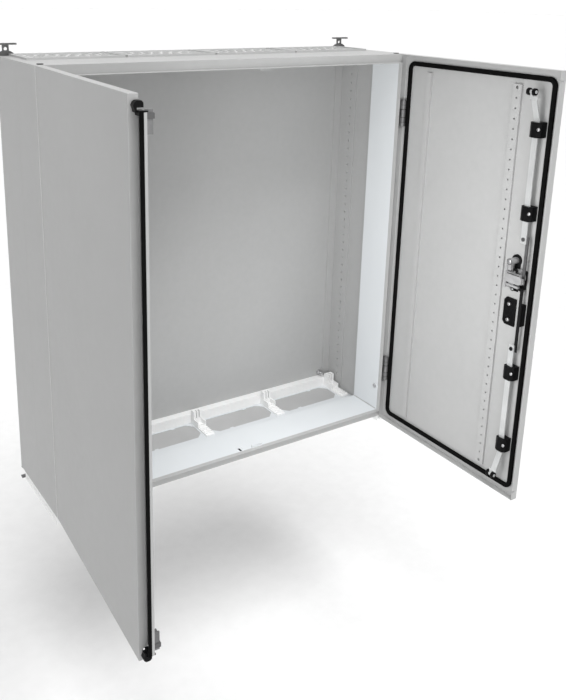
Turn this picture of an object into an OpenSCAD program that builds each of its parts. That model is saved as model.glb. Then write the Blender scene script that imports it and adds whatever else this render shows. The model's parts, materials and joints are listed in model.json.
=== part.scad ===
// Two-door wall-mounted sheet-steel distribution cabinet.
// Origin: centre of the four wall-fixing holes, on the wall plane.
// +X to the right, +Y into the wall, +Z up. Millimetres.
// The doors are drawn where they stand at rest, swung open on their hinges.

/* [Body] */
// Number of fields side by side
fields = 4; // [4:1:5]
// Width of one field
field_pitch = 250; // [245:5:260]
// Number of unit rows one above the other
rows = 7; // [7:1:8]
// Height of one row
row_pitch = 150; // [150:5:160]
// Depth of the body without doors
body_d = 275; // [270:5:300]
// Thickness of the steel sheet
sheet = 1.5; // [1.2:0.1:1.5]
// Visible width of the front frame
frame_w = 24; // [24:1:26]

/* [Doors] */
// Opening angle of the left door at rest
left_open = 93; // [60:1:100]
// Opening angle of the right door at rest
right_open = 90; // [90:1:90]
// Depth of the door pan
door_d = 19; // [19:1:20]
// Gap between each door and the centre line
door_gap = 1.5; // [1.5:0.5:2]
// Distance of each hinge from the top or bottom
hinge_end = 162; // [150:1:200]

/* [Lock] */
// Distance of the lock spindle from the hinge side edge of the right door
lock_s = 464; // [460:1:464]
// Height of the lock spindle above mid height
lock_z = 45; // [40:1:50]
// Stroke of the rods and of the centre bolt
stroke = 19; // [18:0.5:19]
// Diameter of the rollers at the rod ends
roller_d = 17; // [15:1:17]

/* [Hidden] */
$fn = 48;

t = sheet;
W = fields*field_pitch + 50;      // overall width
H = rows*row_pitch + 50;          // overall height
D = body_d;
hw = W/2;
hh = H/2;
yf = -D;                          // front plane of the body
door_in = yf - 2;                 // open side of the closed door pan
door_out = door_in - door_d;      // outer face of the closed door
skin = door_out + t;              // inner face of the door skin
rim = 12;                         // forward reach of the frame rim
post_d = 110;                     // depth of the box section behind the frame
seam_y = yf + 130;                // joint between front frame and rear shell
ix = hw - frame_w;                // half width of the clear opening
iz = hh - frame_w;                // half height of the clear opening
pv = 8.5;                         // hinge pin to the side and outer face of the door
px = hw - pv;
py = door_out + pv;
hz = [hh - hinge_end, -(hh - hinge_end)];
seal_in = 17;                     // door edge to the seal
seal_w = 12;
seal_t = 7.2;
lx = hw - lock_s;                 // lock spindle, closed door
rs = 471.5;                       // centre line of the lock bars from the hinge edge
rx = hw - rs;
crank = stroke/2/sin(45);
pin_r = 2.5;
field_x = [for (i = [0:fields]) -hw + 25 + i*field_pitch];
plate_x = [for (i = [0:fields-1]) -hw + 25 + (i + 0.5)*field_pitch];
roller_z = hh - 33 - stroke;      // roller axis above mid height, bars drawn back
guide_z = [hh - 140, hh - 342, -(hh - 342), -(hh - 140)];

ral = [0.80, 0.81, 0.80];
white = [0.95, 0.95, 0.95];
dark = [0.05, 0.05, 0.05];
zinc = [0.70, 0.71, 0.72];

module bx(x0, x1, y0, y1, z0, z1) { translate([x0, y0, z0]) cube([x1-x0, y1-y0, z1-z0]); }
module rod_x(x0, x1, y, z, r) { translate([x0, y, z]) rotate([0, 90, 0]) cylinder(h = x1-x0, r = r); }
module rod_y(x, y0, y1, z, r) { translate([x, y0, z]) rotate([-90, 0, 0]) cylinder(h = y1-y0, r = r); }
module rod_z(x, y, z0, z1, r) { translate([x, y, z0]) cylinder(h = z1-z0, r = r); }
// rectangle with true round corners
module rrect(x0, x1, z0, z1, r) {
  translate([x0+r, z0]) square([x1-x0-2*r, z1-z0]);
  translate([x0, z0+r]) square([x1-x0, z1-z0-2*r]);
  for (x = [x0+r, x1-r], z = [z0+r, z1-r]) translate([x, z]) circle(r = r);
}
// flat shape in the X-Z plane, from y0 to y1
module plate_y(y0, y1) { translate([0, y1, 0]) rotate([90, 0, 0]) linear_extrude(height = y1-y0) children(); }
module left_door_place() { translate([-px, py, 0]) rotate([0, 0, -left_open]) translate([px, -py, 0]) children(); }
module right_door_place() { translate([px, py, 0]) rotate([0, 0, right_open]) translate([-px, -py, 0]) children(); }

// ---------------------------------------------------------------- body
// box-section post with its front flange, forward rim and outer side sheet
module front_post() {
  bx(hw-t, hw, yf+t, seam_y, -hh, hh);
  bx(ix, hw, yf, yf+t, -hh, hh);
  bx(ix, ix+t, yf-rim, yf, -iz-t, iz+t);
  bx(ix, ix+t, yf+t, yf+post_d, -hh+t, hh-t);
  bx(ix+t, hw-t, yf+post_d-t, yf+post_d, -hh+t, hh-t);
}
// upper cross member; a lip stops the thrown rollers, a slot takes the shoot bolt
module cross_profile() {
  difference() {
    union() {
      bx(-hw+t, hw-t, yf+t, seam_y, hh-t, hh);
      bx(-ix, ix, yf, yf+t, iz, hh);
      bx(-ix, ix, yf-rim, yf, iz, iz+t);
      bx(-ix, ix, yf+t, yf+post_d, iz, iz+t);
      bx(-ix, ix, yf+post_d-t, yf+post_d, iz+t, hh-t);
      bx(lx-15, lx+19, yf+t, yf+5, iz-7, iz);
    }
    bx(8.6, 14.4, yf+2.4, yf+18.6, iz-1, iz+t+1);
  }
}
module left_front_post() { color(ral) mirror([1, 0, 0]) front_post(); }
module right_front_post() { color(ral) front_post(); }
module top_front_profile() { color(ral) cross_profile(); }
module bottom_front_profile() { color(ral) mirror([0, 0, 1]) cross_profile(); }

module rear_side() { bx(hw-t, hw, seam_y+0.4, 0, -hh, hh); }
module left_rear_side() { color(ral) mirror([1, 0, 0]) rear_side(); }
module right_rear_side() { color(ral) rear_side(); }

// eight-sided cable cut-out with small edge notches
module cutout(x) {
  translate([x, -72, 0]) linear_extrude(height = 4*t, center = true)
    polygon([[-107, -22], [-88, -41], [-52, -41], [-52, -37], [-40, -37], [-40, -41], [88, -41], [107, -22],
             [107, 22], [88, 41], [52, 41], [52, 37], [40, 37], [40, 41], [-88, 41], [-107, 22]]);
}
module rear_cross_sheet() {
  difference() {
    bx(-hw+t, hw-t, seam_y+0.4, 0, hh-t, hh);
    for (x = plate_x) translate([0, 0, hh-t/2]) cutout(x);
  }
}
module rear_top_sheet() { color(ral) rear_cross_sheet(); }
module rear_bottom_sheet() { color(ral) mirror([0, 0, 1]) rear_cross_sheet(); }
module rear_wall() { color(ral) bx(-hw+t, hw-t, -t, 0, -hh+t, hh-t); }

// perforated L upright in the rear corner
module upright() {
  difference() {
    union() {
      bx(hw-t-3, hw-t, -73, -t, -hh+t, hh-t);
      bx(hw-t-28, hw-t-3, -t-3, -t, -hh+t, hh-t);
    }
    for (i = [-(rows*3-1):(rows*3-1)]) rod_x(hw-t-4, hw-t+1, -50, i*25, 3);
  }
}
module left_mounting_upright() { color(ral) mirror([1, 0, 0]) upright(); }
module right_mounting_upright() { color(ral) upright(); }

// box rail along the rear corner, between the uprights
module rear_rail() {
  difference() {
    bx(-hw+t+29, hw-t-29, -26, -t, hh-t-30, hh-t);
    bx(-hw, hw, -26+t, -t-t, hh-t-30+t, hh-2*t);
  }
}
module rear_top_rail() { color(white) rear_rail(); }
module rear_bottom_rail() { color(white) mirror([0, 0, 1]) rear_rail(); }

// moulded foot between two cut-outs: ribbed base and upright clip with two slots
module foot() {
  difference() {
    union() {
      bx(-14, 14, -122, -26, -hh+t, -hh+t+5);
      for (i = [0:5]) bx(-12, 12, -118+i*11, -114+i*11, -hh+t+5, -hh+t+9);
      bx(-14, 14, -44, -26, -hh+t, -hh+t+44);
      bx(-14, -11, -70, -44, -hh+t+5, -hh+t+20);
      bx(11, 14, -70, -44, -hh+t+5, -hh+t+20);
    }
    for (x = [-6.5, 2.5]) bx(x, x+4, -45, -32, -hh+t+20, -hh+t+45);
  }
}
module mounting_feet() {
  color(white) for (x = field_x) translate([x, 0, 0]) { foot(); mirror([0, 0, 1]) foot(); }
}

// moulded entry plate: raised border and rows of ring-shaped knockouts
module entry_plate() {
  bx(-122, 122, -137, -7, 0, 2.5);
  difference() { bx(-122, 122, -137, -7, 2.5, 5); bx(-117, 117, -132, -12, 2, 6); }
  difference() { bx(-106, 106, -121, -23, 2.5, 3.6); bx(-103.5, 103.5, -118.5, -25.5, 2, 5); }
  for (i = [0:6]) translate([-84+i*28, -47, 2.5]) difference() { cylinder(h = 1.4, r = 10); translate([0, 0, -1]) cylinder(h = 4, r = 7.6); }
  for (i = [0:7]) translate([-87.5+i*25, -74, 2.5]) difference() { cylinder(h = 1.4, r = 7.5); translate([0, 0, -1]) cylinder(h = 4, r = 5.4); }
  for (i = [0:6]) translate([-84+i*28, -100, 2.5]) difference() { cylinder(h = 1.4, r = 10); translate([0, 0, -1]) cylinder(h = 4, r = 7.6); }
}
module top_flange_plates() { color(white) for (x = plate_x) translate([x, 0, hh]) entry_plate(); }
module bottom_flange_plates() { color(white) for (x = plate_x) translate([x, 0, -hh]) mirror([0, 0, 1]) entry_plate(); }

// slotted channel under each side
module base_rail() {
  difference() {
    bx(hw-16, hw, yf+3, -32, -hh-20, -hh);
    bx(hw-14, hw-2, yf, -31, -hh-21, -hh-2);
    for (i = [0:7]) bx(hw-3, hw+1, yf+14+i*28, yf+30+i*28, -hh-14, -hh-6);
  }
}
module left_base_rail() { color(white) mirror([1, 0, 0]) base_rail(); }
module right_base_rail() { color(white) base_rail(); }

// wall lug: drilled post with a bent crossbar, standing on a round foot
module lug() {
  difference() {
    union() {
      bx(-8, 8, -4, 0, 0, 26);
      bx(-25, 25, -12, 0, 26, 30);
      intersection() { rod_y(0, -6, 0, -14, 27); bx(-25, 25, -6, 0, 0, 14); }
    }
    rod_y(0, -5, 1, 16, 4.25);
  }
}
module wall_brackets() {
  color([0.5, 0.5, 0.5]) for (x = [-1, 1], z = [-1, 1])
    translate([x*(hw-22), 0, z*(hh+0)]) mirror([0, 0, z < 0 ? 1 : 0]) lug();
}
module body_screws() {
  color(zinc) for (x = [-1, 1], z = [-1, 1]) {
    rod_y(x*(hw-44), -9.5, -t, z*(hh-44), 8);
    translate([x*(hw-44), -9.5, z*(hh-44)]) rotate([90, 0, 0]) cylinder(h = 5, r = 5.5, $fn = 6);
    if (z < 0) rod_x(x > 0 ? ix-4 : -ix, x > 0 ? ix : -ix+4, yf+14, -hh+98, 6.5);
  }
}
module corner_plugs() { color(dark) for (x = [-1, 1]) { rod_z(x*(hw-19), yf+21, hh, hh+1.6, 7.5); } }

// ---------------------------------------------------------------- hinges
module body_hinge(z) {
  bx(px-7, px+3.5, yf-2, yf, z-36, z+36);
  for (k = [-1, 1]) {
    bx(px-13, px-6.9, yf-2, yf, z+k*25-11, z+k*25+11);
    difference() {
      union() {
        bx(px-6.5, px+2, py, yf-2, z+k*24-12, z+k*24+12);
        rod_z(px, py, z+k*24-12, z+k*24+12, 6.5);
      }
      rod_z(px, py, z-45, z+45, pin_r);
    }
  }
}
module door_hinge(z) {
  bx(px-8, px+5, skin, skin+2, z-11.5, z+11.5);
  difference() {
    union() {
      bx(px-4, px+4, skin, py, z-11.5, z+11.5);
      rod_z(px, py, z-11.5, z+11.5, 6.5);
    }
    rod_z(px, py, z-45, z+45, pin_r+0.06);
  }
}
module right_body_hinges() { color(zinc) for (z = hz) body_hinge(z); }
module left_body_hinges() { color(zinc) mirror([1, 0, 0]) for (z = hz) body_hinge(z); }
module hinge_pins() {
  color(zinc) for (x = [-1, 1], z = hz) {
    rod_z(x*px, py, z-38, z+38, pin_r);
    rod_z(x*px, py, z+36, z+38.5, 5);
  }
}
module right_door_hinges() { color(zinc) right_door_place() for (z = hz) door_hinge(z); }
module left_door_hinges() { color(zinc) left_door_place() mirror([1, 0, 0]) for (z = hz) door_hinge(z); }

// ---------------------------------------------------------------- doors
// shallow pan with returned edges, notched where the hinge arms pass
module door_pan() {
  difference() {
    bx(door_gap, hw, door_out, door_in, -hh, hh);
    bx(door_gap+t, hw-t, skin, door_in+1, -hh+t, hh-t);
    for (z = hz) bx(hw-t-1, hw+1, skin+2, door_in+1, z-43, z+43);
    bx(hw-3.5, hw+1, door_in-2.2, door_in+1, -hh-1, hh+1);
    for (k = [-1, 1]) bx(door_gap-1, door_gap+t+1, door_in-11, door_in+1, k*(iz+t/2)-3, k*(iz+t/2)+3);
  }
}
module right_door_panel() {
  color(ral) right_door_place() difference() {
    door_pan();
    rod_y(lx, door_out-1, skin+1, lock_z, 10);
  }
}
module left_door_panel() { color(ral) left_door_place() mirror([1, 0, 0]) door_pan(); }

module seal_ring(x0, x1) {
  plate_y(skin, skin+seal_t) difference() {
    rrect(x0, x1, -hh+seal_in, hh-seal_in, 22);
    rrect(x0+seal_w, x1-seal_w, -hh+seal_in+seal_w, hh-seal_in-seal_w, 10);
  }
}
module right_door_seal() { color(dark) right_door_place() seal_ring(door_gap+seal_in, hw-seal_in); }
// three-sided: the meeting edge carries the strip instead
module left_door_seal() {
  color(dark) left_door_place() mirror([1, 0, 0]) difference() {
    seal_ring(-80, hw-seal_in);
    bx(-100, 12, skin-1, skin+seal_t+1, -hh, hh);
  }
}

// hat-section strip on the door skin, punched every 25 mm
module door_strip(x, w, punched) {
  n = floor((hh-50)/25);
  difference() {
    bx(x-w/2, x+w/2, skin, skin+6, -hh+42, hh-42);
    bx(x-w/2+1.2, x+w/2-1.2, skin-1, skin+4.8, -hh+41, hh-41);
    if (punched) for (i = [-n:n]) rod_y(x, skin, skin+7, i*25, abs(i) == n ? 4 : 2.2);
  }
}
module right_door_rail() { color(ral) right_door_place() door_strip(hw-395, 26, true); }
module right_door_rib() { color(ral) right_door_place() door_strip(hw-98, 16, false); }
module left_door_rail() { color(ral) left_door_place() mirror([1, 0, 0]) door_strip(hw-395, 26, true); }
module left_door_rib() { color(ral) left_door_place() mirror([1, 0, 0]) door_strip(hw-98, 16, false); }

// rebate of the left door: reaches behind the right door and ends in a forward rim
module meeting_profile() {
  color(ral) left_door_place() {
    translate([0, 0, -iz+4]) linear_extrude(height = 2*iz-8)
      polygon([[-34, door_in], [-4, door_in], [-4, door_in+1.5], [25.3, door_in+1.5], [25.3, door_in-7], [26.8, door_in-7],
               [26.8, door_in+3], [-5.5, door_in+3], [-5.5, door_in+1.5], [-34, door_in+1.5]]);
    bx(-34, -32.5, skin, door_in, -iz+9, iz-9);
  }
}
module meeting_strip() {
  color(dark) left_door_place() difference() {
    bx(24.1, 28, door_in-10, door_in-3, -iz+3, iz-3);
    bx(25.3, 26.8, door_in-7, door_in, -iz, iz);
  }
}
// rubber block that closes the corner at the meeting rim, with a pointed cap beyond the frame rim
module end_block() {
  bx(4.5, 24, door_in-9, door_in+1.5, iz-10, iz-1.4);
  bx(4.5, 17, door_in-14, door_in-8, iz-4.6, iz-1.4);
  bx(15, 24, door_in+1.5, door_in+6, iz-4, iz-1.4);
  translate([4.5, 0, 0]) rotate([90, 0, 90]) linear_extrude(height = 12.5)
    polygon([[door_in-17, iz+6.5], [door_in-14, iz-1.2], [door_in-13, iz-4.6], [door_in-10.6, iz-4.6], [door_in-10.6, iz+3], [door_in+1, iz+3],
             [door_in+1, iz+11], [door_in-2.5, iz+14.5], [door_in-10.6, iz+14.5], [door_in-14, iz+12]]);
}
module seal_end_blocks() { color(dark) left_door_place() { end_block(); mirror([0, 0, 1]) end_block(); } }
module bolt_guide() {
  difference() {
    bx(7.4, 14.8, door_in+3, door_in+21.4, iz-16.5, iz-6.5);
    bx(9.6, 13.4, door_in+4.6, door_in+19.4, iz-18, iz-5);
  }
}
module bolt_guides() { color(zinc) left_door_place() { bolt_guide(); mirror([0, 0, 1]) bolt_guide(); } }
module shoot_bolt() {
  bx(10, 13, door_in+5, door_in+19, iz-42, iz-1);
  bx(2, 10, door_in+8, door_in+16, iz-42, iz-39);
}
module upper_shoot_bolt() { color(zinc) left_door_place() shoot_bolt(); }
module lower_shoot_bolt() { color(zinc) left_door_place() mirror([0, 0, 1]) shoot_bolt(); }

// ---------------------------------------------------------------- lock bars
// positions along the right door: q(s) gives X from the distance to the hinge edge
function q(s) = hw - s;
module rod_guide(z) {
  difference() {
    translate([0, 0, z-18]) linear_extrude(height = 36)
      polygon([[q(458), skin], [q(488), skin], [q(488), skin+19], [q(482), skin+27], [q(466), skin+27], [q(458), skin+22]]);
    bx(q(479.9), q(463.1), skin+15.6, skin+19.4, z-19, z+19);
    rod_y(q(483.5), skin+20, skin+28, z+2, 3.2);
  }
}
module rod_guides() { color(dark) right_door_place() for (z = guide_z) rod_guide(z); }

module lock_bar() {
  difference() {
    union() {
      translate([q(479.5), 0, 0]) rotate([90, 0, 90]) linear_extrude(height = 16)
        polygon([[skin+16, 132], [skin+19, 132], [skin+19, hh-116], [skin+35, hh-72], [skin+35, hh-63], [skin+32, hh-63],
                 [skin+32, hh-71], [skin+16, hh-115]]);
      bx(q(466), q(458), skin+32, skin+35, hh-69, roller_z);
      bx(q(471), q(458), skin+32, skin+35, hh-69, hh-63);
      rod_x(q(466), q(458), skin+33.5, roller_z, 4.5);
      rod_x(q(474.5), q(449.5), skin+33.5, roller_z, pin_r);
      rod_x(q(450.3), q(449.3), skin+33.5, roller_z, 4);
      rod_x(q(474.7), q(473.7), skin+33.5, roller_z, 4);
    }
    rod_y(q(471.5), skin+10, skin+22, 143, 3);
  }
}
module roller(s) {
  difference() {
    rod_x(q(s+6.8), q(s), skin+33.5, roller_z, roller_d/2);
    rod_x(q(s+8), q(s-2), skin+33.5, roller_z, pin_r+0.06);
  }
}
module upper_lock_rod() { color(ral) right_door_place() lock_bar(); }
module lower_lock_rod() { color(ral) right_door_place() mirror([0, 0, 1]) lock_bar(); }
module upper_roller_a() { color(dark) right_door_place() roller(450.6); }
module upper_roller_b() { color(dark) right_door_place() roller(466.6); }
module lower_roller_a() { color(dark) right_door_place() mirror([0, 0, 1]) roller(450.6); }
module lower_roller_b() { color(dark) right_door_place() mirror([0, 0, 1]) roller(466.6); }

// links between the spindle and the bars: a slotted yoke, a shank and a hooked end with its rivet
module yoke_plate(s0, z0) { bx(q(s0+9), q(s0-9), skin+13, skin+16, z0-8, z0+8); }
module yoke_slot(sa, sb, z0) { bx(q(sb+3.2), q(sa-3.2), skin+12, skin+17, z0-3.2, z0+3.2); }
module upper_link() {
  color(zinc) right_door_place() {
    difference() {
      union() {
        yoke_plate(lock_s+12, lock_z-stroke/2);
        bx(q(485), q(477), skin+13, skin+16, lock_z-stroke/2, 150);
        bx(q(485), q(465), skin+13, skin+16, 136, 150);
      }
      yoke_slot(lock_s+stroke/2, lock_s+crank, lock_z-stroke/2);
    }
    rod_y(q(471.5), skin+16, skin+21, 143, 3);
    rod_y(q(471.5), skin+19, skin+21, 143, 5);
  }
}
module lower_link() {
  color(dark) right_door_place() {
    difference() {
      union() {
        yoke_plate(lock_s-12, lock_z+stroke/2);
        bx(q(lock_s-15), q(lock_s-21), skin+13, skin+16, lock_z-34, lock_z+stroke/2);
        bx(q(485), q(lock_s-21), skin+13, skin+16, lock_z-34, lock_z-27);
        bx(q(485), q(477), skin+13, skin+16, -150, lock_z-27);
        bx(q(485), q(465), skin+13, skin+16, -150, -136);
      }
      yoke_slot(lock_s-crank, lock_s-stroke/2, lock_z+stroke/2);
    }
    rod_y(q(471.5), skin+16, skin+21, -143, 3);
    rod_y(q(471.5), skin+19, skin+21, -143, 5);
  }
}
module link_guide() {
  color(dark) right_door_place() difference() {
    bx(q(488), q(475), skin, skin+17.5, -80, -24);
    bx(q(485.4), q(474), skin+12.7, skin+19, -81, -23);
  }
}

// ---------------------------------------------------------------- lock
module lock_base() {
  color(zinc) right_door_place() difference() {
    union() {
      bx(q(lock_s+18), q(lock_s-27), skin, skin+3, lock_z-32, lock_z+16);
      bx(q(lock_s-6), q(lock_s-27), skin, skin+3, lock_z-44, lock_z+36);
      rod_y(q(lock_s-18), skin, skin+3, lock_z+36, 14.5);
      rod_y(q(lock_s-18), skin, skin+9, lock_z-37, 6.5);
      rod_y(lx, skin, skin+7.5, lock_z, 12);
    }
    rod_y(lx, skin-1, skin+9, lock_z, 6.06);
  }
}
// cast cover: left cheek, front bridge over the centre bolt and two screw domes
module lock_cover() {
  color(zinc) right_door_place() difference() {
    union() {
      bx(q(lock_s-22), q(lock_s-27), skin+3, skin+31, lock_z-30, lock_z+30);
      bx(q(lock_s+14), q(lock_s-27), skin+27, skin+31, lock_z-15, lock_z+6);
      rod_y(q(lock_s+14), skin+27, skin+31, lock_z-4.5, 10.5);
      bx(q(lock_s+16), q(lock_s-22), skin+17.5, skin+28.5, lock_z+2.4, lock_z+8);
      bx(q(lock_s+14), q(lock_s-22), skin+21.8, skin+28, lock_z-26, lock_z-20.4);
      rod_y(q(lock_s-18), skin+3, skin+29, lock_z+36, 8);
      bx(q(lock_s-14), q(lock_s-27), skin+17.5, skin+27, lock_z+8, lock_z+36);
    }
    rod_y(q(lock_s-18), skin+26, skin+30, lock_z+36, 4);
    bx(q(lock_s-13), q(lock_s-28), skin+21, skin+32, lock_z+10.5, lock_z+14);
  }
}
// sliding bolt with a round nose
module centre_bolt() {
  color(zinc) right_door_place() difference() {
    union() {
      bx(q(lock_s-2), q(lock_s-17), skin+22, skin+26.6, lock_z-20, lock_z+2);
      bx(q(484), q(lock_s-2), skin+22, skin+26.6, lock_z-14, lock_z+2);
      rod_y(q(484), skin+22, skin+26.6, lock_z-6, 8);
    }
    bx(q(lock_s-stroke/2+3.2), q(lock_s-stroke/2-3.2), skin+21, skin+28, lock_z-crank-3.2, lock_z-stroke/2+3.2);
  }
}
// the grip stands toward the hinges at rest and hangs down when the bars are thrown
module grip_place() { translate([lx, 0, lock_z]) rotate([0, -90, 0]) translate([-lx, 0, -lock_z]) children(); }
// spindle with head, cross pin, shaft, cam disc and three crank pins
module lock_spindle() {
  color(zinc) right_door_place() {
    rod_y(lx, door_out-4.3, skin+12, lock_z, 6);
    rod_y(lx, door_out-17.5, door_out-4.3, lock_z, 11.5);
    grip_place() rod_x(lx-17, lx+17, door_out-11.5, lock_z, 2.5);
    rod_y(lx, skin+8, skin+12, lock_z, 19);
    for (a = [-45, 135]) rod_y(lx - crank*cos(a), skin+12, skin+17, lock_z + crank*sin(a), pin_r);
    rod_y(lx - crank*cos(225), skin+12, skin+26.6, lock_z + crank*sin(225), pin_r);
  }
}
module fixing_plate() {
  color(dark) right_door_place() plate_y(skin, skin+5)
    polygon([[q(459), -20], [q(429), -20], [q(422), -28], [q(422), -84], [q(429), -92], [q(459), -92]]);
}
module door_screws() {
  color(zinc) right_door_place() {
    for (z = [-35, -77]) rod_y(q(441), skin+5, skin+8, z, 4.6);
    for (z = guide_z) rod_y(q(483.5), skin+20, skin+24.5, z+2, 3.2);
  }
}

module handle_escutcheon() {
  color(dark) right_door_place() difference() {
    plate_y(door_out-4, door_out) rrect(lx-20, lx+20, -108, lock_z+32, 17);
    plate_y(door_out-5, door_out-2) rrect(lx-17.5, lx+17.5, -105.5, lock_z-13, 14.5);
    rod_y(lx, door_out-5, door_out+1, lock_z, 6.6);
  }
}
// grip that folds out on the spindle head
module swing_handle() {
  color(dark) right_door_place() grip_place() difference() {
    union() {
      for (k = [-1, 1]) rod_x(lx + (k > 0 ? 11.8 : -16.5), lx + (k > 0 ? 16.5 : -11.8), door_out-11.5, lock_z, 7);
      for (k = [-1, 1]) bx(lx + (k > 0 ? 11.8 : -16.5), lx + (k > 0 ? 16.5 : -11.8), door_out-18.5, door_out-4.5, lock_z-22, lock_z);
      plate_y(door_out-21, door_out-4.5) rrect(lx-16.5, lx+16.5, -100, lock_z-15, 12);
    }
    rod_x(lx-20, lx+20, door_out-11.5, lock_z, 2.56);
    rod_y(lx, door_out-23, door_out-3, -72, 8.06);
  }
}
module lock_barrel() {
  color(zinc) right_door_place() grip_place() difference() {
    rod_y(lx, door_out-21.5, door_out-5.5, -72, 8);
    bx(lx-1.2, lx+1.2, door_out-23, door_out-14, -77, -67);
  }
}

left_front_post();
right_front_post();
top_front_profile();
bottom_front_profile();
left_rear_side();
right_rear_side();
rear_top_sheet();
rear_bottom_sheet();
rear_wall();
left_mounting_upright();
right_mounting_upright();
rear_top_rail();
rear_bottom_rail();
mounting_feet();
top_flange_plates();
bottom_flange_plates();
left_base_rail();
right_base_rail();
wall_brackets();
body_screws();
corner_plugs();
left_body_hinges();
right_body_hinges();
hinge_pins();
left_door_panel();
left_door_seal();
meeting_profile();
meeting_strip();
seal_end_blocks();
bolt_guides();
left_door_hinges();
left_door_rail();
left_door_rib();
upper_shoot_bolt();
lower_shoot_bolt();
right_door_panel();
right_door_seal();
right_door_hinges();
right_door_rail();
right_door_rib();
rod_guides();
lock_base();
lock_cover();
fixing_plate();
door_screws();
link_guide();
handle_escutcheon();
lock_spindle();
swing_handle();
lock_barrel();
centre_bolt();
upper_lock_rod();
upper_link();
upper_roller_a();
upper_roller_b();
lower_lock_rod();
lower_link();
lower_roller_a();
lower_roller_b();
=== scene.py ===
import json
import math
import bpy
import bmesh
from mathutils import Matrix, Vector


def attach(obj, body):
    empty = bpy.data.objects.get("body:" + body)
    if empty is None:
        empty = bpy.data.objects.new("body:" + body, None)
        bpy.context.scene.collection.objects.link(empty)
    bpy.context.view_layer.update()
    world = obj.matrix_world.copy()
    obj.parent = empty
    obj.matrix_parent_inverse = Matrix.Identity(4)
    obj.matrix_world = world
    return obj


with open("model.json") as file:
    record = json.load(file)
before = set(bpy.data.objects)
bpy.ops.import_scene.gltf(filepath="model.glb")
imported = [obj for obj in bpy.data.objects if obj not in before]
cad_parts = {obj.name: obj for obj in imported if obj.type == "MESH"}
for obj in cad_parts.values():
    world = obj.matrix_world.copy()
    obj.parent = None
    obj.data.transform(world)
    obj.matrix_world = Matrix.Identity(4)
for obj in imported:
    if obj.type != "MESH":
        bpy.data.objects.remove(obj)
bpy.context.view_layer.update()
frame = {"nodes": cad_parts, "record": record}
N = frame["nodes"]
col = bpy.context.scene.collection

# ------------------------------------------------------------------ places
HW, HH, D, T = 0.525, 0.550, 0.275, 0.0015
DOOR_IN, DOOR_OUT = -0.277, -0.296
SKIN = DOOR_OUT + T
PX, PY = 0.5165, -0.2875
IX, IZ = 0.501, 0.526
RIGHT = Matrix.Translation((PX, PY, 0)) @ Matrix.Rotation(math.radians(90), 4, "Z") @ Matrix.Translation((-PX, -PY, 0))
LEFT = Matrix.Translation((-PX, PY, 0)) @ Matrix.Rotation(math.radians(-93), 4, "Z") @ Matrix.Translation((PX, -PY, 0))
ID = Matrix.Identity(4)


# ------------------------------------------------------------------ materials
def tree(name):
    m = bpy.data.materials.new(name)
    m.use_nodes = True
    nt = m.node_tree
    nt.nodes.clear()
    out = nt.nodes.new("ShaderNodeOutputMaterial")
    bsdf = nt.nodes.new("ShaderNodeBsdfPrincipled")
    nt.links.new(bsdf.outputs[0], out.inputs[0])
    tc = nt.nodes.new("ShaderNodeTexCoord")
    return m, nt, bsdf, tc


def noise(nt, tc, scale, detail=4.0, rough=0.5, stretch=None):
    n = nt.nodes.new("ShaderNodeTexNoise")
    n.inputs["Scale"].default_value = scale
    n.inputs["Detail"].default_value = detail
    n.inputs["Roughness"].default_value = rough
    if stretch:
        mp = nt.nodes.new("ShaderNodeMapping")
        mp.inputs["Scale"].default_value = stretch
        nt.links.new(tc.outputs["Object"], mp.inputs["Vector"])
        nt.links.new(mp.outputs[0], n.inputs["Vector"])
    else:
        nt.links.new(tc.outputs["Object"], n.inputs["Vector"])
    return n


def ramp(nt, src, p0, c0, p1, c1):
    r = nt.nodes.new("ShaderNodeValToRGB")
    r.color_ramp.elements[0].position = p0
    r.color_ramp.elements[0].color = (*c0, 1)
    r.color_ramp.elements[1].position = p1
    r.color_ramp.elements[1].color = (*c1, 1)
    nt.links.new(src, r.inputs[0])
    return r


def rng(nt, src, a, b, lo=0.3, hi=0.7):
    m = nt.nodes.new("ShaderNodeMapRange")
    m.inputs["From Min"].default_value = lo
    m.inputs["From Max"].default_value = hi
    m.inputs["To Min"].default_value = a
    m.inputs["To Max"].default_value = b
    nt.links.new(src, m.inputs["Value"])
    return m


def bump(nt, height, strength, dist, after=None):
    b = nt.nodes.new("ShaderNodeBump")
    b.inputs["Strength"].default_value = strength
    b.inputs["Distance"].default_value = dist
    nt.links.new(height, b.inputs["Height"])
    if after is not None:
        nt.links.new(after.outputs[0], b.inputs["Normal"])
    return b


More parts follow.
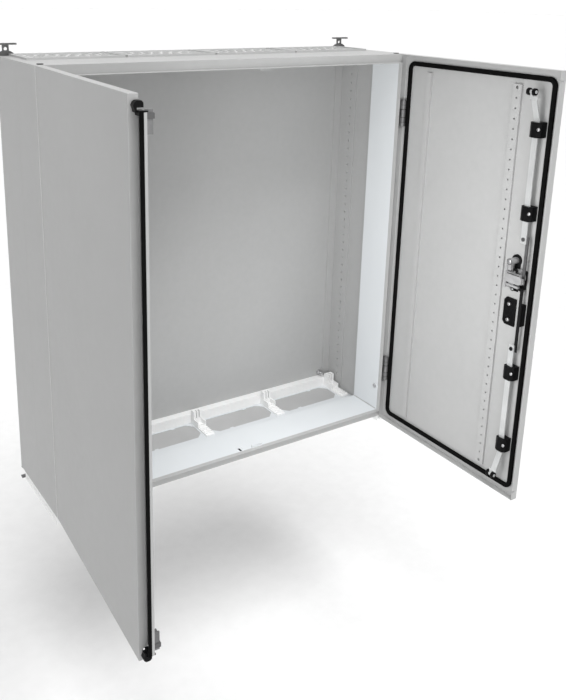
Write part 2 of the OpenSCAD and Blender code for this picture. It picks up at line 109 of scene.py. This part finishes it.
def surface(name, c0, c1, r0, r1, tone_scale=6.0, grain=900.0, grain_depth=0.00012, grain_strength=0.25,
            peel=0.0, metallic=0.0, coat=0.0, stretch=None, spec=0.5, streak=0.0, inside=None):
    m, nt, b, tc = tree(name)
    big = noise(nt, tc, tone_scale, 3.0, 0.55)
    fine = noise(nt, tc, grain, 2.0, 0.5, stretch)
    mid = noise(nt, tc, tone_scale * 14, 4.0, 0.6)
    tone = ramp(nt, big.outputs["Fac"], 0.3, c0, 0.7, c1)
    mix = nt.nodes.new("ShaderNodeMix")
    mix.data_type = "RGBA"
    mix.blend_type = "MULTIPLY"
    mix.inputs["Factor"].default_value = 0.35 if not streak else streak
    r2 = ramp(nt, (fine if streak else mid).outputs["Fac"], 0.25, (0.86, 0.86, 0.86), 0.75, (1.0, 1.0, 1.0))
    nt.links.new(tone.outputs[0], mix.inputs["A"])
    nt.links.new(r2.outputs[0], mix.inputs["B"])
    paint = mix.outputs["Result"]
    if inside:
        # the inner skins of the frame get a lighter, bluer grey than the outer skins
        sep = nt.nodes.new("ShaderNodeSeparateXYZ")
        nt.links.new(tc.outputs["Object"], sep.inputs[0])
        last = None
        for axis, op, lim in (("X", "ABSOLUTE", 0.5228), ("Z", "ABSOLUTE", 0.5492), ("Y", None, -0.2742)):
            src = sep.outputs[axis]
            if op:
                ab = nt.nodes.new("ShaderNodeMath")
                ab.operation = op
                nt.links.new(src, ab.inputs[0])
                src = ab.outputs[0]
            lt = nt.nodes.new("ShaderNodeMath")
            lt.operation = "LESS_THAN" if op else "GREATER_THAN"
            lt.inputs[1].default_value = lim
            nt.links.new(src, lt.inputs[0])
            if last is None:
                last = lt.outputs[0]
            else:
                mu = nt.nodes.new("ShaderNodeMath")
                mu.operation = "MULTIPLY"
                nt.links.new(last, mu.inputs[0])
                nt.links.new(lt.outputs[0], mu.inputs[1])
                last = mu.outputs[0]
        tint = ramp(nt, big.outputs["Fac"], 0.3, inside[0], 0.7, inside[1])
        mi = nt.nodes.new("ShaderNodeMix")
        mi.data_type = "RGBA"
        nt.links.new(last, mi.inputs["Factor"])
        nt.links.new(paint, mi.inputs["A"])
        nt.links.new(tint.outputs[0], mi.inputs["B"])
        paint = mi.outputs["Result"]
    nt.links.new(paint, b.inputs["Base Color"])
    rr = rng(nt, mid.outputs["Fac"], r0, r1)
    nt.links.new(rr.outputs[0], b.inputs["Roughness"])
    b1 = bump(nt, fine.outputs["Fac"], grain_strength, grain_depth)
    last = b1
    if peel:
        w = noise(nt, tc, 160.0, 2.0, 0.4)
        last = bump(nt, w.outputs["Fac"], peel, 0.0003, b1)
    nt.links.new(last.outputs[0], b.inputs["Normal"])
    b.inputs["Metallic"].default_value = metallic
    b.inputs["Specular IOR Level"].default_value = spec
    if coat:
        b.inputs["Coat Weight"].default_value = coat
        b.inputs["Coat Roughness"].default_value = 0.25
    return m


def grey(v):
    return (v, v * 1.003, v * 1.0)


MAT = {
    "grey_paint": surface("grey_paint", (0.415, 0.417, 0.415), (0.437, 0.439, 0.437), 0.38, 0.50, 3.5, 1300.0, 0.00010, 0.30, 0.10),
    "frame_paint": surface("frame_paint", (0.415, 0.417, 0.415), (0.437, 0.439, 0.437), 0.38, 0.50, 3.5, 1300.0, 0.00010, 0.30, 0.10,
                           inside=((0.64, 0.665, 0.685), (0.66, 0.685, 0.70))),
    "white_plastic": surface("white_plastic", (0.86, 0.865, 0.86), (0.90, 0.90, 0.90), 0.34, 0.46, 8.0, 1600.0, 0.00005, 0.25),
    # grey_plastic is a darker grey copy of the entry-plate plastic: on the bottom entry plates it is painted shade
    "grey_plastic": surface("grey_plastic", (0.40, 0.40, 0.40), (0.44, 0.44, 0.44), 0.40, 0.55, 8.0, 1600.0, 0.00005, 0.25),
    "hinge_steel": surface("hinge_steel", (0.15, 0.15, 0.152), (0.24, 0.24, 0.242), 0.44, 0.62, 40.0, 1200.0, 0.00006, 0.25, metallic=0.45, spec=0.35),
    "bracket_steel": surface("bracket_steel", (0.13, 0.13, 0.13), (0.20, 0.20, 0.20), 0.30, 0.48, 30.0, 1500.0, 0.00006, 0.3, metallic=0.85),
    "bar_steel": surface("bar_steel", (0.62, 0.63, 0.63), (0.72, 0.73, 0.73), 0.30, 0.45, 18.0, 900.0, 0.00008, 0.25, metallic=0.55, stretch=(1, 1, 0.04), streak=0.5),
    "zinc_steel": surface("zinc_steel", (0.50, 0.50, 0.50), (0.66, 0.66, 0.67), 0.24, 0.42, 40.0, 1200.0, 0.00006, 0.25, metallic=0.9),
    "cast_zinc": surface("cast_zinc", (0.34, 0.34, 0.343), (0.47, 0.47, 0.475), 0.38, 0.56, 45.0, 1400.0, 0.00015, 0.5, metallic=0.35),
    "seal_rubber": surface("seal_rubber", (0.0035, 0.0035, 0.0035), (0.006, 0.006, 0.006), 0.66, 0.86, 20.0, 2200.0, 0.00020, 0.6, spec=0.03),
    "black_plastic": surface("black_plastic", (0.0035, 0.0035, 0.0038), (0.006, 0.006, 0.0064), 0.36, 0.52, 30.0, 2400.0, 0.00008, 0.4, spec=0.08),
    "dark_steel": surface("dark_steel", (0.006, 0.006, 0.0065), (0.011, 0.011, 0.0115), 0.34, 0.50, 30.0, 1500.0, 0.00006, 0.3, spec=0.12),
}
for sp in frame["record"]["subparts"]:
    o = N[sp["node"]]
    o.data.materials.clear()
    o.data.materials.append(MAT[sp["material_slot"]])


for n in ("left_front_post", "right_front_post", "bottom_front_profile", "rear_bottom_sheet"):
    N[n].data.materials[0] = MAT["frame_paint"]


def soften(o, width, seg=2, angle=35):
    w = o.modifiers.new("weld", "WELD")
    w.merge_threshold = 0.00001
    b = o.modifiers.new("bevel", "BEVEL")
    b.width = width
    b.segments = seg
    b.limit_method = "ANGLE"
    b.angle_limit = math.radians(angle)
    b.use_clamp_overlap = True
    b.harden_normals = False


for n, w in {
    "left_door_panel": 0.0014, "right_door_panel": 0.0014, "left_front_post": 0.0005, "right_front_post": 0.0005,
    "top_front_profile": 0.0005, "bottom_front_profile": 0.0005, "left_rear_side": 0.0004, "right_rear_side": 0.0004,
    "left_door_seal": 0.0022, "right_door_seal": 0.0022, "meeting_strip": 0.0012, "handle_escutcheon": 0.0008,
    "swing_handle": 0.0022, "lock_cover": 0.0011, "lock_base": 0.0006, "rod_guides": 0.0010, "link_guide": 0.0009,
    "fixing_plate": 0.0010, "upper_lock_rod": 0.0004, "lower_lock_rod": 0.0004, "centre_bolt": 0.0005,
    "wall_brackets": 0.0007, "mounting_feet": 0.0006, "rear_bottom_rail": 0.0010, "rear_top_rail": 0.0010,
    "seal_end_blocks": 0.0012, "bolt_guides": 0.0008, "upper_roller_a": 0.0009, "upper_roller_b": 0.0009,
    "lower_roller_a": 0.0009, "lower_roller_b": 0.0009, "upper_link": 0.0004, "lower_link": 0.0004,
    "upper_shoot_bolt": 0.0004, "lower_shoot_bolt": 0.0004, "meeting_profile": 0.0004,
}.items():
    soften(N[n], w, 3 if w > 0.001 else 2)

# ------------------------------------------------------------------ details
def put(name, bm, mat, body, place=ID, bevel=0.0, smooth=40):
    bmesh.ops.recalc_face_normals(bm, faces=bm.faces)
    bm.transform(place)
    me = bpy.data.meshes.new(name)
    bm.to_mesh(me)
    bm.free()
    o = bpy.data.objects.new(name, me)
    col.objects.link(o)
    o.data.materials.append(MAT[mat])
    if bevel:
        b = o.modifiers.new("bevel", "BEVEL")
        b.width = bevel
        b.segments = 2
        b.limit_method = "ANGLE"
        b.angle_limit = math.radians(35)
    for p in me.polygons:
        p.use_smooth = True
    me.set_sharp_from_angle(angle=math.radians(smooth))
    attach(o, body)
    return o


def frame_at(at, axis):
    q = Vector(axis).to_track_quat("Z", "Y")
    return Matrix.Translation(at) @ q.to_matrix().to_4x4()


def ring_of(bm, pts):
    return [bm.verts.new(p) for p in pts]


def skin_rings(bm, rings, close=True):
    for a, b in zip(rings, rings[1:]):
        n = len(a)
        for i in range(n):
            bm.faces.new((a[i], a[(i + 1) % n], b[(i + 1) % n], b[i]))


def screw(bm, at, axis, r, h, n=24, depth=0.7):
    """Domed head with a cross recess, standing on at and facing axis."""
    m = frame_at(at, axis)
    rings = []
    for rr, z in ((r, -0.0002), (r, 0.35 * h), (0.86 * r, 0.80 * h), (0.60 * r, h)):
        rings.append(ring_of(bm, [m @ Vector((rr * math.cos(2 * math.pi * i / n), rr * math.sin(2 * math.pi * i / n), z)) for i in range(n)]))
    for z in (h, h * (1 - depth)):
        pts = []
        for i in range(n):
            t = 2 * math.pi * i / n
            k = 0.50 if abs(math.cos(2 * t)) > 0.8 else 0.20
            pts.append(m @ Vector((r * k * math.cos(t), r * k * math.sin(t), z)))
        rings.append(ring_of(bm, pts))
    skin_rings(bm, rings)
    bm.faces.new(rings[-1])
    bm.faces.new(list(reversed(rings[0])))


def lathe(bm, at, axis, prof, n=32):
    """Closed body of revolution from (radius, height) pairs."""
    m = frame_at(at, axis)
    rings = [ring_of(bm, [m @ Vector((rr * math.cos(2 * math.pi * i / n), rr * math.sin(2 * math.pi * i / n), z)) for i in range(n)]) for rr, z in prof]
    skin_rings(bm, rings)
    bm.faces.new(rings[-1])
    bm.faces.new(list(reversed(rings[0])))


def annulus(bm, at, axis, r0, r1, h, n=32):
    m = frame_at(at, axis)
    prof = ((r1, 0), (r1, h), (r0, h), (r0, 0))
    rings = [ring_of(bm, [m @ Vector((rr * math.cos(2 * math.pi * i / n), rr * math.sin(2 * math.pi * i / n), z)) for i in range(n)]) for rr, z in prof]
    skin_rings(bm, rings + [rings[0]])


def slab(bm, x0, x1, y0, y1, z0, z1):
    v = [bm.verts.new((x, y, z)) for x in (x0, x1) for y in (y0, y1) for z in (z0, z1)]
    for f in ((0, 1, 3, 2), (4, 6, 7, 5), (0, 4, 5, 1), (2, 3, 7, 6), (0, 2, 6, 4), (1, 5, 7, 3)):
        bm.faces.new([v[i] for i in f])


def tube(bm, pts, r, n=10):
    """Round wire along a list of points."""
    rings = []
    up = Vector((0.13, 0.2, 1.0)).normalized()
    for i, p in enumerate(pts):
        a = pts[max(i - 1, 0)]
        b = pts[min(i + 1, len(pts) - 1)]
        t = (Vector(b) - Vector(a)).normalized()
        u1 = t.cross(up)
        if u1.length < 1e-4:
            u1 = t.cross(Vector((1, 0, 0)))
        u1.normalize()
        u2 = t.cross(u1)
        rings.append(ring_of(bm, [Vector(p) + r * (math.cos(2 * math.pi * k / n) * u1 + math.sin(2 * math.pi * k / n) * u2) for k in range(n)]))
    skin_rings(bm, rings)
    bm.faces.new(rings[0])
    bm.faces.new(rings[-1])


# lighter grey used as a painted highlight on the rolled front edges
MAT["edge_highlight_paint"] = surface("edge_highlight_paint", (0.66, 0.665, 0.66), (0.70, 0.70, 0.70), 0.34, 0.46, 8.0, 1300.0, 0.00005, 0.25)
MAT["guide_steel"] = surface("guide_steel", (0.10, 0.10, 0.101), (0.14, 0.14, 0.141), 0.44, 0.60, 40.0, 1200.0, 0.00006, 0.25, metallic=0.3, spec=0.3)
MAT["link_steel"] = surface("link_steel", (0.12, 0.12, 0.122), (0.20, 0.20, 0.203), 0.34, 0.52, 40.0, 1200.0, 0.00006, 0.25, metallic=0.85)
# dark grey painted shade for the plate grooves, also the colour of the plate fasteners
MAT["groove_shade_and_fastener_grey"] = surface("groove_shade_and_fastener_grey", (0.26, 0.26, 0.26), (0.33, 0.33, 0.33), 0.5, 0.7, 30.0, 1600.0, 0.00005, 0.25)
# darker copy of white_plastic for the up-facing top plates: painted shade that holds back how strongly the lamps light
# them
MAT["plate_white_shaded_copy"] = surface("plate_white_shaded_copy", (0.55, 0.555, 0.55), (0.60, 0.60, 0.60), 0.34, 0.46, 8.0, 1600.0, 0.00005, 0.25)
# near-black material for painted shade in gaps, seams and recesses
MAT["shadow_gap"] = surface("shadow_gap", (0.02, 0.02, 0.02), (0.04, 0.04, 0.04), 0.7, 0.9, 30.0, 1600.0, 0.00005, 0.25, spec=0.1)
N["top_flange_plates"].data.materials[0] = MAT["plate_white_shaded_copy"]
N["upper_link"].data.materials[0] = MAT["link_steel"]
N["bolt_guides"].data.materials[0] = MAT["guide_steel"]

Q = lambda sdist: HW - sdist
LX, LZ = Q(0.464), 0.045
HZ = (HH - 0.162, -(HH - 0.162))

# screws on the hinge tabs
for side, sx in (("left", -1), ("right", 1)):
    bm = bmesh.new()
    for z in HZ:
        for k in (-1, 1):
            for dz in (18, 32):
                screw(bm, (sx * (PX - 0.0098), -D - 0.002, z + k * dz / 1000), (0, -1, 0), 0.0027, 0.0013)
    put(side + "_hinge_screws", bm, "zinc_steel", "cabinet")

# entry plates: rim line, break-out grooves, ties and corner fasteners; the rings, dots, strips and rim lines are dark
# grey painted shade in the grooves
for nm, sz in (("top", 1), ("bottom", -1)):
    bm = bmesh.new()
    fast = bmesh.new()
    up = (0, 0, sz)
    for x in (-0.375, -0.125, 0.125, 0.375):
        z = sz * (HH + 0.0025)
        for i in range(7):
            for y in (-0.047, -0.100):
                annulus(bm, (x - 0.084 + i * 0.028, y, z), up, 0.0064, 0.0076, 0.0004, 24)
                lathe(bm, (x - 0.084 + i * 0.028, y, z), up, ((0.0022, 0), (0.0022, 0.0004), (0.0004, 0.0006)), 12)
        for i in range(8):
            annulus(bm, (x - 0.0875 + i * 0.025, -0.074, z), up, 0.0043, 0.0054, 0.0004, 20)
        for i in range(6):
            for y in (-0.0605, -0.0870):
                slab(bm, x - 0.0755 + i * 0.028, x - 0.0645 + i * 0.028, y - 0.0008, y + 0.0008, min(z, z + sz * 0.0004), max(z, z + sz * 0.0004))
        for y in (-0.1245, -0.0195):
            slab(bm, x - 0.108, x + 0.108, y - 0.0011, y + 0.0011, min(z, z + sz * 0.0004), max(z, z + sz * 0.0004))
        for dx in (-0.1105, 0.1105):
            slab(bm, x + dx - 0.0011, x + dx + 0.0011, -0.122, -0.022, min(z, z + sz * 0.0004), max(z, z + sz * 0.0004))
            for y in (-0.0155, -0.1285):
                screw(fast, (x + dx, y, z), up, 0.0030, 0.0016, 20)
    put(nm + "_plate_groove_shading", bm, "groove_shade_and_fastener_grey", "cabinet")
    put(nm + "_plate_fasteners", fast, "groove_shade_and_fastener_grey", "cabinet")

# weld nuggets along the edges of the rear wall and of the rear sheets
bm = bmesh.new()
for i in range(-5, 6):
    for z in (HH - 0.012, -HH + 0.012):
        lathe(bm, (i * 0.095, 0.0, z), (0, 1, 0), ((0.0030, -0.0002), (0.0028, -0.00005), (0.0012, 0.00002)), 16)
for i in range(-5, 6):
    for sx in (-1, 1):
        lathe(bm, (sx * (HW - 0.012), 0.0, i * 0.095), (0, 1, 0), ((0.0030, -0.0002), (0.0028, -0.00005), (0.0012, 0.00002)), 16)
put("weld_nuggets", bm, "grey_paint", "cabinet")

# sealant bead in the inner corners behind the frame
bm = bmesh.new()
for sx in (-1, 1):
    for sz in (-1, 1):
        tube(bm, [(sx * (IX - 0.0006), -D + 0.004 + i * 0.0085, sz * (IZ - 0.0006)) for i in range(13)], 0.0016, 8)
put("frame_corner_beads", bm, "grey_paint", "cabinet")

# rolled edge down each front corner of the body, in a lighter grey that is a painted highlight along the bend
bm = bmesh.new()
for sx in (-1, 1):
    tube(bm, [(sx * 0.5242, -D - 0.0007, -0.5485 + i * 1.097 / 24) for i in range(25)], 0.0010, 10)
put("front_edge_beads", bm, "edge_highlight_paint", "cabinet")

# painted shadow: near-black rings where the hinge knuckles meet, standing for the shade in the gaps
bm = bmesh.new()
for sx in (-1, 1):
    for z in HZ:
        for k in (-1, 1):
            for dz, hh_ in ((0.01125, 0.0014), (0.0240, 0.0009)):
                zc = z + k * dz
                annulus(bm, (sx * PX, PY, zc - hh_ / 2), (0, 0, 1), 0.0062, 0.00685, hh_, 28)
put("hinge_knuckle_shadow_rings", bm, "shadow_gap", "cabinet")

# threaded earth studs: washer, nut and thread
bm = bmesh.new()
for sx in (-1, 1):
    for sz in (-1, 1):
        c = (sx * (HW - 0.044), -0.0095, sz * (HH - 0.044))
        pts = []
        for i in range(0, 15 * 7):
            t = i / 15.0
            pts.append((c[0] + 0.0028 * math.cos(2 * math.pi * t), c[1] - 0.005 - 0.0011 * t, c[2] + 0.0028 * math.sin(2 * math.pi * t)))
        tube(bm, pts, 0.0005, 6)
        lathe(bm, (c[0], c[1] - 0.004, c[2]), (0, -1, 0), ((0.0027, 0), (0.0027, 0.0092), (0.0021, 0.0100)), 20)
put("earth_stud_threads", bm, "zinc_steel", "cabinet")

# ---- right door, drawn closed and swung with the door
# heads of the guide and plate screws
bm = bmesh.new()
for z in (HH - 0.140, HH - 0.342, -(HH - 0.342), -(HH - 0.140)):
    screw(bm, (Q(0.4835), SKIN + 0.0245, z + 0.002), (0, 1, 0), 0.0044, 0.0020)
for z in (-0.035, -0.077):
    screw(bm, (Q(0.441), SKIN + 0.008, z), (0, 1, 0), 0.0046, 0.0024)
for z in (LZ + 0.0385, LZ - 0.0385):
    screw(bm, (Q(0.478), SKIN + 0.003, z), (0, 1, 0), 0.0040, 0.0024)
screw(bm, (Q(0.446), SKIN + 0.029, LZ + 0.036), (0, 1, 0), 0.0062, 0.0026)
screw(bm, (Q(0.446), SKIN + 0.0090, LZ - 0.037), (0, 1, 0), 0.0046, 0.0020)
put("lock_screw_heads", bm, "zinc_steel", "right_door", RIGHT)

# painted shade in the seams of the lock cover: near-black strips laid into them
bm = bmesh.new()
slab(bm, Q(0.464 + 0.0155), Q(0.464 - 0.0215), SKIN + 0.0284, SKIN + 0.0287, LZ + 0.0061, LZ + 0.0077)
slab(bm, Q(0.464 - 0.0137), Q(0.464 - 0.0268), SKIN + 0.0208, SKIN + 0.0212, LZ + 0.0107, LZ + 0.0138)
put("lock_cover_groove_shade", bm, "shadow_gap", "right_door", RIGHT)
bm = bmesh.new()
annulus(bm, (Q(0.446), SKIN + 0.0288, LZ + 0.036), (0, 1, 0), 0.0066, 0.0078, 0.0008, 32)
annulus(bm, (LX, SKIN + 0.0030, LZ), (0, 1, 0), 0.0120, 0.0165, 0.0012, 36)
put("lock_rim_shadows", bm, "shadow_gap", "right_door", RIGHT)

# return spring of the centre bolt
bm = bmesh.new()
pts = []
for i in range(0, 12 * 9 + 1):
    t = i / 12.0
    pts.append((Q(0.4395) - 0.0016 * t, SKIN + 0.0242 + 0.0030 * math.cos(2 * math.pi * t), LZ - 0.0262 + 0.0030 * math.sin(2 * math.pi * t)))
tube(bm, pts, 0.00065, 8)
put("bolt_spring", bm, "zinc_steel", "right_door", RIGHT)

# square socket and retaining ring on the spindle, drawn near-black as painted shade
bm = bmesh.new()
annulus(bm, (LX, SKIN + 0.0120, LZ), (0, 1, 0), 0.0050, 0.0078, 0.0012, 36)
slab(bm, LX - 0.0040, LX + 0.0040, SKIN + 0.0118, SKIN + 0.0162, LZ - 0.0040, LZ + 0.0040)
put("spindle_square", bm, "shadow_gap", "lock_spindle", RIGHT, 0.0004)
# small near-black dots on the spindle disc, painted shade in the shadow_gap material
bm = bmesh.new()
for k in range(10):
    t = 2 * math.pi * k / 10 + 0.3
    lathe(bm, (LX + 0.0150 * math.cos(t), SKIN + 0.0119, LZ + 0.0150 * math.sin(t)), (0, 1, 0), ((0.0012, 0), (0.0012, 0.0002), (0.0005, 0.0003)), 10)
put("spindle_disc_shade_dots", bm, "shadow_gap", "lock_spindle", RIGHT)

# ------------------------------------------------------------------ stage
bm = bmesh.new()
verts = [bm.verts.new(p) for p in ((-70, -70, -1.15), (70, -70, -1.15), (70, 70, -1.15), (-70, 70, -1.15))]
bm.faces.new(verts)
me = bpy.data.meshes.new("floor")
bm.to_mesh(me)
bm.free()
floor = bpy.data.objects.new("floor", me)
col.objects.link(floor)
floor.data.materials.append(surface("floor_paint", (0.80, 0.80, 0.80), (0.81, 0.81, 0.81), 0.75, 0.9, 1.5, 60.0, 0.0002, 0.05, spec=0.2))

world = bpy.data.worlds.new("studio")
bpy.context.scene.world = world
world.use_nodes = True
wt = world.node_tree
bg = wt.nodes["Background"]
bg.inputs[0].default_value = (1.0, 1.0, 1.0, 1)
# soft box light all round, with a white cyclorama behind the cabinet
wc = wt.nodes.new("ShaderNodeTexCoord")
wd = wt.nodes.new("ShaderNodeVectorMath")
wd.operation = "DOT_PRODUCT"
wd.inputs[1].default_value = (0.52, 0.85, 0.0)
wt.links.new(wc.outputs["Generated"], wd.inputs[0])
wr = wt.nodes.new("ShaderNodeMapRange")
wr.interpolation_type = "SMOOTHSTEP"
wr.inputs["From Min"].default_value = 0.35
wr.inputs["From Max"].default_value = 0.75
wr.inputs["To Min"].default_value = 0.45
wr.inputs["To Max"].default_value = 1.05
wt.links.new(wd.outputs["Value"], wr.inputs["Value"])
wt.links.new(wr.outputs[0], bg.inputs[1])
# plain white paper behind, whatever the soft box gives to the surfaces
paper = wt.nodes.new("ShaderNodeBackground")
paper.inputs[0].default_value = (1.0, 1.0, 1.0, 1)
paper.inputs[1].default_value = 1.02
ray = wt.nodes.new("ShaderNodeLightPath")
pick = wt.nodes.new("ShaderNodeMixShader")
wt.links.new(ray.outputs["Is Camera Ray"], pick.inputs[0])
wt.links.new(bg.outputs[0], pick.inputs[1])
wt.links.new(paper.outputs[0], pick.inputs[2])
wt.links.new(pick.outputs[0], wt.nodes["World Output"].inputs["Surface"])


def area(name, loc, target, size, power, size_y=None):
    l = bpy.data.lights.new(name, "AREA")
    l.shape = "RECTANGLE"
    l.size = size
    l.size_y = size_y or size
    l.energy = power
    o = bpy.data.objects.new(name, l)
    col.objects.link(o)
    o.location = loc
    o.rotation_euler = (Vector(target) - Vector(loc)).to_track_quat("-Z", "Y").to_euler()
    return o


area("key", (-0.6, -2.3, 0.7), (0.2, -0.3, -0.1), 1.0, 7)
inner = area("inner", (-0.42, -0.78, 0.10), (0.52, -0.64, 0.02), 0.45, 4.3, 0.95)
inner.visible_camera = False
inner.data.spread = math.radians(120)
sun = bpy.data.lights.new("sky_panel", "SUN")
sun.energy = 2.5
sun.angle = math.radians(40)
so = bpy.data.objects.new("sky_panel", sun)
col.objects.link(so)
so.location = (-0.2, -1.4, 3.5)
so.rotation_euler = (Vector((0.05, 1.0, -2.6))).to_track_quat("-Z", "Y").to_euler()

# ------------------------------------------------------------------ camera
cam = bpy.data.cameras.new("camera")
cam.sensor_width = 36
cam.sensor_fit = "AUTO"
cam.lens = 847.8 / 700 * 36
cam.shift_x = 0.05
cam.shift_y = -0.17
co = bpy.data.objects.new("camera", cam)
col.objects.link(co)
yaw, pitch, roll = math.radians(32.615), math.radians(15.909), math.radians(1.087)
f = Vector((math.sin(yaw) * math.cos(pitch), math.cos(yaw) * math.cos(pitch), -math.sin(pitch)))
r = Vector((math.cos(yaw), -math.sin(yaw), 0))
u = r.cross(f)
rot = Matrix((r, u, -f)).transposed()
rot = rot @ Matrix.Rotation(roll, 3, "Z")
co.matrix_world = Matrix.Translation((-1.1181, -2.0506, 0.7128)) @ rot.to_4x4()
bpy.context.scene.camera = co
bpy.context.scene.view_settings.view_transform = "Standard"
bpy.context.scene.view_settings.look = "None"
